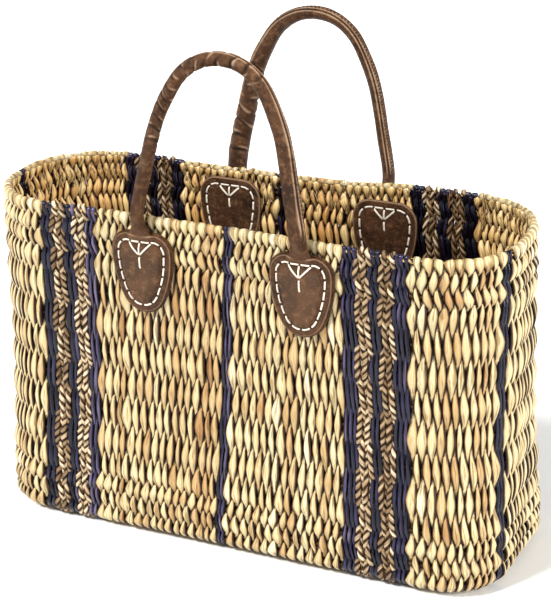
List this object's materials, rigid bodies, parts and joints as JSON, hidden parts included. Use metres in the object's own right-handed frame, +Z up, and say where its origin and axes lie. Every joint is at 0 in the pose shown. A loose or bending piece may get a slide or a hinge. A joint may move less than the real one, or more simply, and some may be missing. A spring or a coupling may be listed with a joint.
{
  "type": "woven market basket",
  "caption": "Open oblong woven straw basket with coloured upright stripes and two rolled leather handles that fold at sewn leather patches.",
  "frame": {"origin": "on the floor, on the flat base, under the middle of the rim", "axes": "+Z up, +X along the basket's length, the front wall faces -Y"},
  "size_m": [0.489, 0.2033, 0.4471],
  "materials": {
    "straw": "matte",
    "navy_straw": "matte",
    "straw_rope": "matte",
    "weft_cord": "matte",
    "leather": "satin",
    "waxed_thread": "matte",
    "core_cord": "matte"
  },
  "bodies": {
    "basket": {"backing_back_left": "leather", "backing_back_right": "leather", "backing_front_left": "leather", "backing_front_right": "leather", "base_cords": "weft_cord", "inner_patch_back_left": "leather", "inner_patch_back_right": "leather", "inner_patch_front_left": "leather", "inner_patch_front_right": "leather", "navy_back_centre": "navy_straw", "navy_back_left_inner": "navy_straw", "navy_back_left_middle": "navy_straw", "navy_back_left_outer": "navy_straw", "navy_back_right_inner": "navy_straw", "navy_back_right_middle": "navy_straw", "navy_back_right_outer": "navy_straw", "navy_front_centre": "navy_straw", "navy_front_left_inner": "navy_straw", "navy_front_left_middle": "navy_straw", "navy_front_left_outer": "navy_straw", "navy_front_right_inner": "navy_straw", "navy_front_right_middle": "navy_straw", "navy_front_right_outer": "navy_straw", "navy_left_end": "navy_straw", "navy_right_end": "navy_straw", "outer_patch_back_left": "leather", "outer_patch_back_right": "leather", "outer_patch_front_left": "leather", "outer_patch_front_right": "leather", "rim_cord": "weft_cord", "rope_back_left_inner": "straw_rope", "rope_back_left_outer": "straw_rope", "rope_back_right_inner": "straw_rope", "rope_back_right_outer": "straw_rope", "rope_front_left_inner": "straw_rope", "rope_front_left_outer": "straw_rope", "rope_front_right_inner": "straw_rope", "rope_front_right_outer": "straw_rope", "stitching_back_left": "waxed_thread", "stitching_back_right": "waxed_thread", "stitching_front_left": "waxed_thread", "stitching_front_right": "waxed_thread", "straw_back_left": "straw", "straw_back_right": "straw", "straw_corner_back_left": "straw", "straw_corner_back_right": "straw", "straw_corner_front_left": "straw", "straw_corner_front_right": "straw", "straw_front_left": "straw", "straw_front_right": "straw", "tongue_back_left": "leather", "tongue_back_right": "leather", "tongue_front_left": "leather", "tongue_front_right": "leather", "weft_cords": "weft_cord", "woven_base": "straw"},
    "front_handle": {"front_handle_cover": "leather", "front_handle_core": "core_cord"},
    "back_handle": {"back_handle_cover": "leather", "back_handle_core": "core_cord"}
  },
  "joints": [
    {"name": "front_handle_fold", "type": "hinge", "parent": "basket", "child": "front_handle", "pos_m": [0.002, -0.0884, 0.305], "axis": [1, 0, 0], "range_deg": [-25, 117]},
    {"name": "back_handle_fold", "type": "hinge", "parent": "basket", "child": "back_handle", "pos_m": [0.008, 0.0884, 0.305], "axis": [-1, 0, 0], "range_deg": [-38, 105]}
  ]
}
